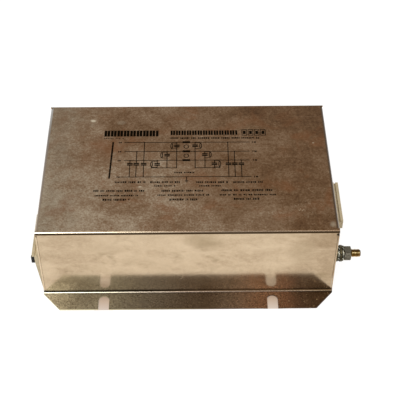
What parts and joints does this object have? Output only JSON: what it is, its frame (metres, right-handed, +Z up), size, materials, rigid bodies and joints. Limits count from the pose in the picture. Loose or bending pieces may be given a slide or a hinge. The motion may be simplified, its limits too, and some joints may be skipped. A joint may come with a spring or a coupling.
{
  "type": "power line filter",
  "caption": "Three-phase power line filter in a folded steel case with side mounting flanges, a terminal block at each end and an earth stud.",
  "frame": {"origin": "centre of the case's footprint on its mounting plane", "axes": "+X along the case from the line end to the load end with the earth stud, +Y from front to back, +Z up from the mounting plane"},
  "size_m": [0.2342, 0.165, 0.065],
  "materials": {
    "case_sheet": "bright tin-plated sheet with a warm stained patina",
    "base_sheet": "plated sheet, dull",
    "screw_steel": "zinc plated",
    "washer_steel": "zinc plated, slightly dulled",
    "nut_steel": "zinc plated, dulled",
    "spring_steel": "bright spring strip",
    "stud_brass": "turned brass",
    "spacer_brass": "turned brass",
    "tinned_copper": "tinned",
    "copper": "enamelled or bare copper",
    "ferrite": "coated core, satin",
    "laminate": "solder-resist laminate",
    "film": "insulating film",
    "ivory_plastic": "moulded, slightly yellowed",
    "black_plastic": "moulded",
    "x_capacitor_case": "moulded box",
    "y_capacitor_case": "moulded box",
    "resistor_body": "lacquered body with tinned legs"
  },
  "bodies": {
    "root": {"case_cover": "case_sheet", "base_plate": "base_sheet", "base_screws": "screw_steel", "insulating_film": "film", "circuit_board": "laminate", "board_spacers": "spacer_brass", "board_screws": "screw_steel", "choke_core": "ferrite", "choke_base": "black_plastic", "choke_separator": "black_plastic", "line_end_marker": "black_plastic", "earth_stud": "stud_brass", "earth_strap": "copper", "earth_flat_washer_1": "washer_steel", "earth_flat_washer_2": "washer_steel", "earth_lock_washer_1": "washer_steel", "earth_lock_washer_2": "washer_steel", "earth_nut": "nut_steel", "choke_winding_1": "copper", "x_capacitor_line_1": "x_capacitor_case", "y_capacitor_line_1": "y_capacitor_case", "bleed_resistor_line_1": "resistor_body", "contact_bar_line_1": "tinned_copper", "cage_spring_line_1": "spring_steel", "x_capacitor_load_1": "x_capacitor_case", "y_capacitor_load_1": "y_capacitor_case", "bleed_resistor_load_1": "resistor_body", "contact_bar_load_1": "tinned_copper", "cage_spring_load_1": "spring_steel", "choke_winding_2": "copper", "x_capacitor_line_2": "x_capacitor_case", "y_capacitor_line_2": "y_capacitor_case", "bleed_resistor_line_2": "resistor_body", "contact_bar_line_2": "tinned_copper", "cage_spring_line_2": "spring_steel", "x_capacitor_load_2": "x_capacitor_case", "y_capacitor_load_2": "y_capacitor_case", "bleed_resistor_load_2": "resistor_body", "contact_bar_load_2": "tinned_copper", "cage_spring_load_2": "spring_steel", "choke_winding_3": "copper", "x_capacitor_line_3": "x_capacitor_case", "y_capacitor_line_3": "y_capacitor_case", "bleed_resistor_line_3": "resistor_body", "contact_bar_line_3": "tinned_copper", "cage_spring_line_3": "spring_steel", "x_capacitor_load_3": "x_capacitor_case", "y_capacitor_load_3": "y_capacitor_case", "bleed_resistor_load_3": "resistor_body", "contact_bar_load_3": "tinned_copper", "cage_spring_load_3": "spring_steel", "terminal_block_line": "ivory_plastic", "terminal_block_load": "ivory_plastic"}
  },
  "joints": []
}
